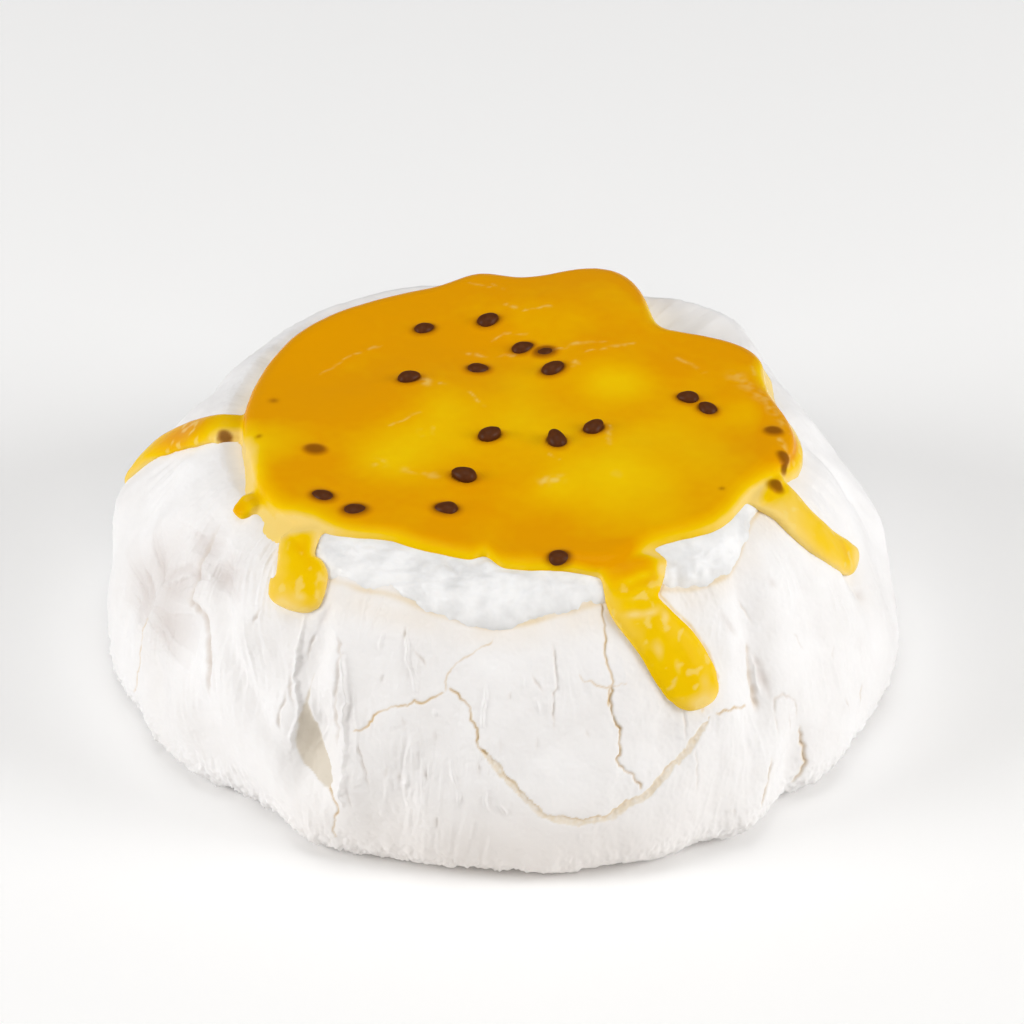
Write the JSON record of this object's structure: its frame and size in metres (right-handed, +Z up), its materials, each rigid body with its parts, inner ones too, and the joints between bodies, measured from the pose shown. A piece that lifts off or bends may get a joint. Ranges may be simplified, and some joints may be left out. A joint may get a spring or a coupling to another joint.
{
  "type": "pavlova",
  "caption": "Round pavlova: a white meringue shell with spatula-swiped sides, whipped cream drooping over its rim and passion fruit sauce with seeds and drips.",
  "frame": {"origin": "middle of the flat underside, where the pavlova rests", "axes": "+Z up; -Y is the front, where the cream droops lowest and the widest drip runs down; +X is the right seen from the front"},
  "size_m": [0.1912, 0.1912, 0.0697],
  "materials": {
    "meringue": "dry matte baked meringue",
    "cream": "soft satin whipped cream",
    "sauce": "wet gloss passion fruit sauce"
  },
  "bodies": {
    "root": {"meringue": "meringue", "cream": "cream", "sauce": "sauce"}
  },
  "joints": []
}
